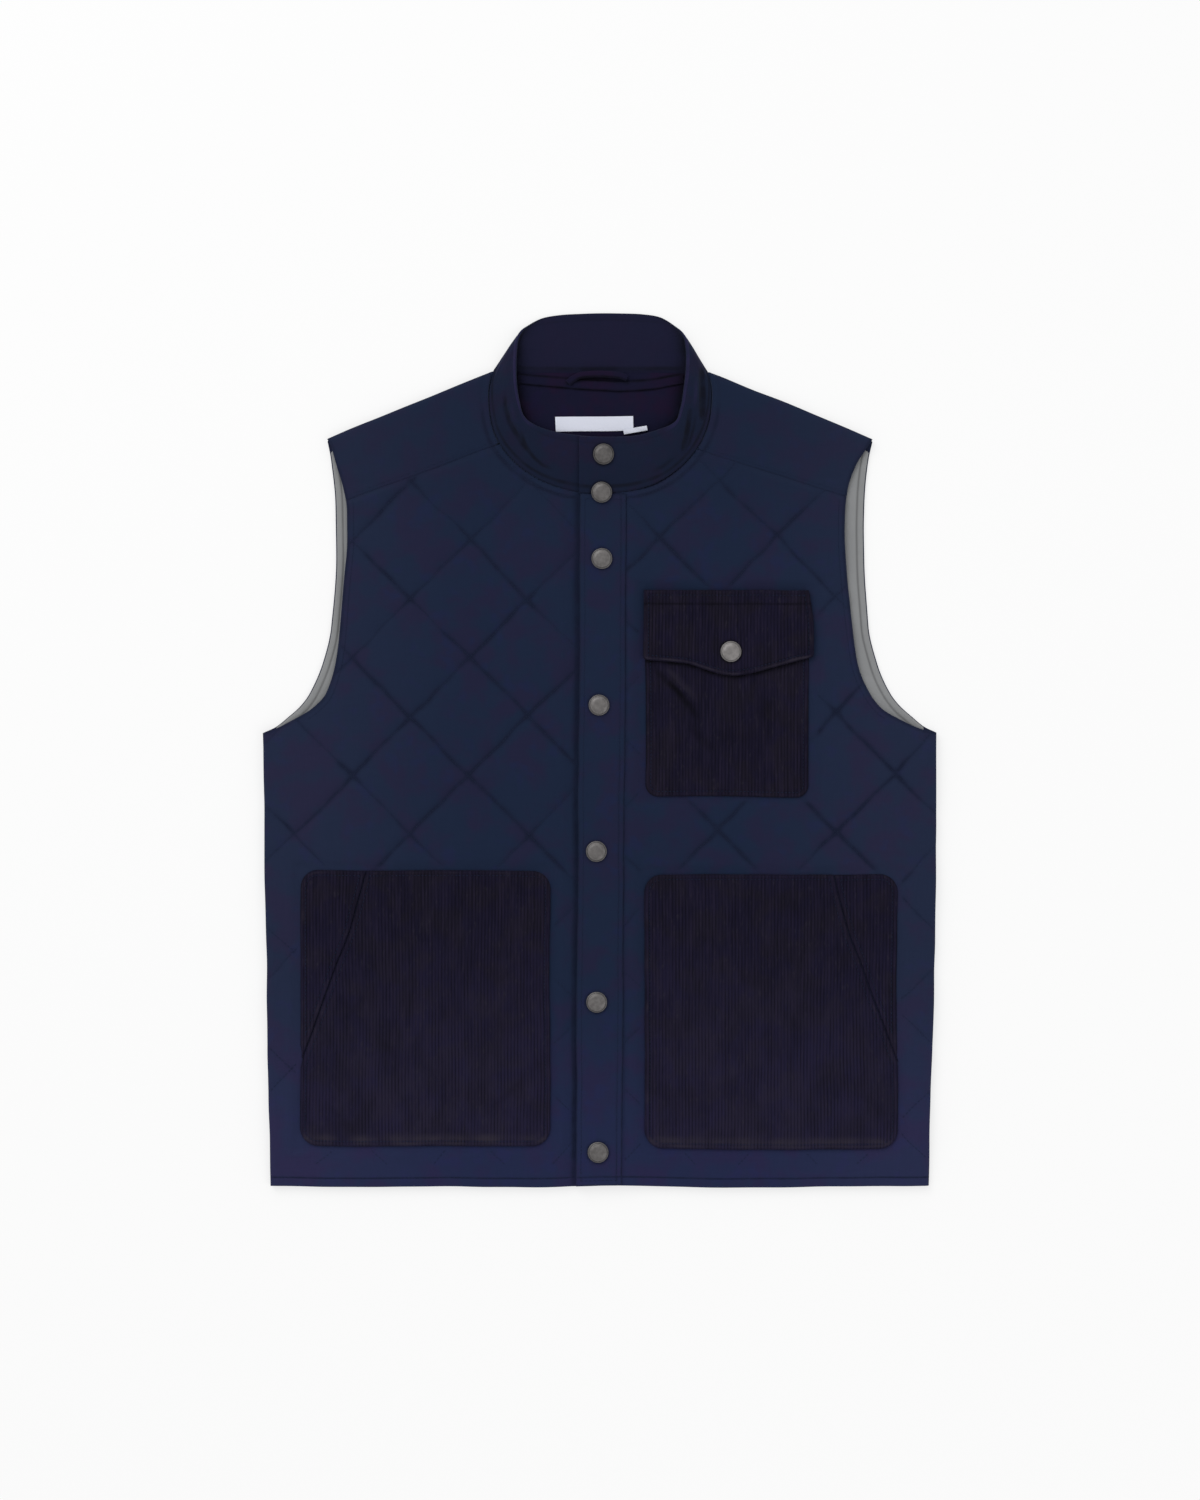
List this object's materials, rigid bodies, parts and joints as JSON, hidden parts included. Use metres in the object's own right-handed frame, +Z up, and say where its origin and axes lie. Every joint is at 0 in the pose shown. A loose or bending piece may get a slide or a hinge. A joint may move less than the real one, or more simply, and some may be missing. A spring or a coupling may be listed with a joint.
{
  "type": "quilted vest",
  "caption": "Sleeveless quilted vest with a stand collar, snapped placket and corduroy patch pockets, laid flat on its back.",
  "frame": {"origin": "on the surface the vest lies on, under the middle of its outline", "axes": "+Y from the hem towards the collar, +X towards the wearer's left side, +Z up out of the front of the vest"},
  "size_m": [0.573, 0.74, 0.0174],
  "materials": {
    "navy_shell": "matte woven shell cloth, lightly padded and quilted",
    "corduroy": "fine-wale cotton corduroy",
    "grey_lining": "plain matte lining",
    "white_tape": "smooth woven label tape, bare",
    "gunmetal": "aged gunmetal snap caps"
  },
  "bodies": {
    "root": {"back": "navy_shell", "back_lining": "grey_lining", "back_neck_facing": "navy_shell", "neck_tape": "navy_shell", "hanger_loop": "navy_shell", "neck_label": "white_tape", "size_tab": "white_tape", "front_right": "navy_shell", "front_left": "navy_shell", "yoke_right": "navy_shell", "yoke_left": "navy_shell", "placket": "navy_shell", "collar": "navy_shell", "chest_pocket": "corduroy", "chest_flap": "corduroy", "lower_pocket_right": "corduroy", "pocket_corner_right": "corduroy", "lower_pocket_left": "corduroy", "pocket_corner_left": "corduroy", "snap_1": "gunmetal", "snap_2": "gunmetal", "snap_3": "gunmetal", "snap_4": "gunmetal", "snap_5": "gunmetal", "snap_6": "gunmetal", "snap_7": "gunmetal", "snap_chest": "gunmetal"}
  },
  "joints": []
}
